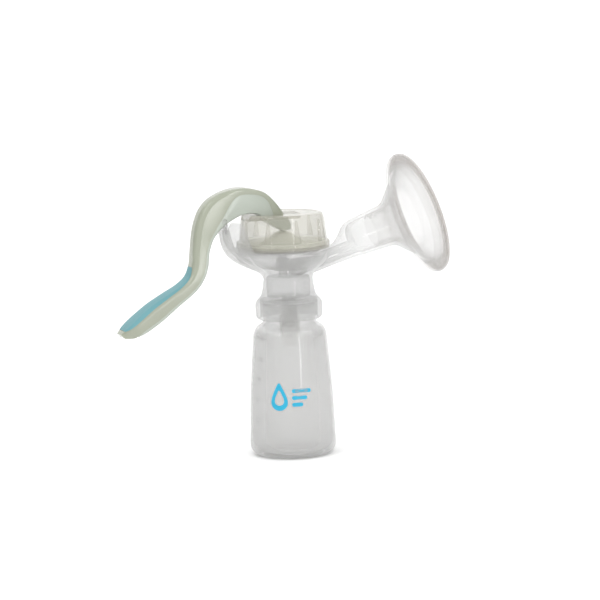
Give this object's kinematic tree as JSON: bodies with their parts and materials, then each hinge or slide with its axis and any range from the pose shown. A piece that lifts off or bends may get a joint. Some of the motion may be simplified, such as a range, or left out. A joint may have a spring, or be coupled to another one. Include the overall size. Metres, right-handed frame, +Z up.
{
  "type": "manual breast pump",
  "caption": "Hand-squeezed breast pump: clear body with a silicone-lined shield, capped diaphragm and swan-neck handle, screwed on a feeding bottle.",
  "frame": {"origin": "centre of the bottle's base, on the flat disc in the middle of it", "axes": "+X towards the breast shield, -X towards the squeeze handle, +Z up along the bottle, +Y away from the side that the handle's user faces"},
  "size_m": [0.2197, 0.082, 0.1913],
  "materials": {
    "bottle_plastic": "milky clear polypropylene, satin",
    "seal_silicone": "translucent silicone",
    "body_plastic": "milky clear polypropylene, glossy",
    "cushion_silicone": "clear silicone with a warm tint",
    "valve_silicone": "milky silicone",
    "diaphragm_silicone": "milky silicone",
    "cap_plastic": "clear, glossy",
    "stem_plastic": "milky, satin",
    "shell_plastic": "pale yellow-green, translucent, glossy",
    "liner_plastic": "pale blue-green, translucent",
    "grip_rubber": "soft blue, matte",
    "pin_plastic": "milky"
  },
  "bodies": {
    "bottle": {"bottle": "bottle_plastic"},
    "seal": {"neck_seal_ring": "seal_silicone"},
    "head": {"pump_body": "body_plastic", "massage_cushion": "cushion_silicone", "duckbill_valve": "valve_silicone", "diaphragm": "diaphragm_silicone", "cap": "cap_plastic"},
    "stem": {"diaphragm_stem": "stem_plastic"},
    "handle": {"handle_shell": "shell_plastic", "handle_liner": "liner_plastic", "grip_pad": "grip_rubber", "pivot_pin": "pin_plastic"}
  },
  "joints": [
    {"name": "head_rise", "type": "slide", "parent": "bottle", "child": "seal", "axis": [0, 0, 1], "range_m": [0, 0.004]},
    {"name": "head_unscrew", "type": "hinge", "parent": "seal", "child": "head", "pos_m": [0, 0, 0.095], "axis": [0, 0, 1], "range_deg": [0, 360]},
    {"name": "handle_squeeze", "type": "hinge", "parent": "head", "child": "handle", "pos_m": [-0.0435, 0, 0.155], "axis": [0, -1, 0], "range_deg": [0, 15], "stiffness_Nm_per_rad": 2},
    {"name": "stem_lift", "type": "slide", "parent": "head", "child": "stem", "axis": [0, 0, 1], "range_m": [0, 0.0108], "deforming": ["diaphragm"]}
  ],
  "couplings": [
    {"joint": "stem_lift", "follows": "handle_squeeze", "m_per_rad": 0.0408},
    {"joint": "head_rise", "follows": "head_unscrew", "m_per_rad": 0.00063}
  ]
}
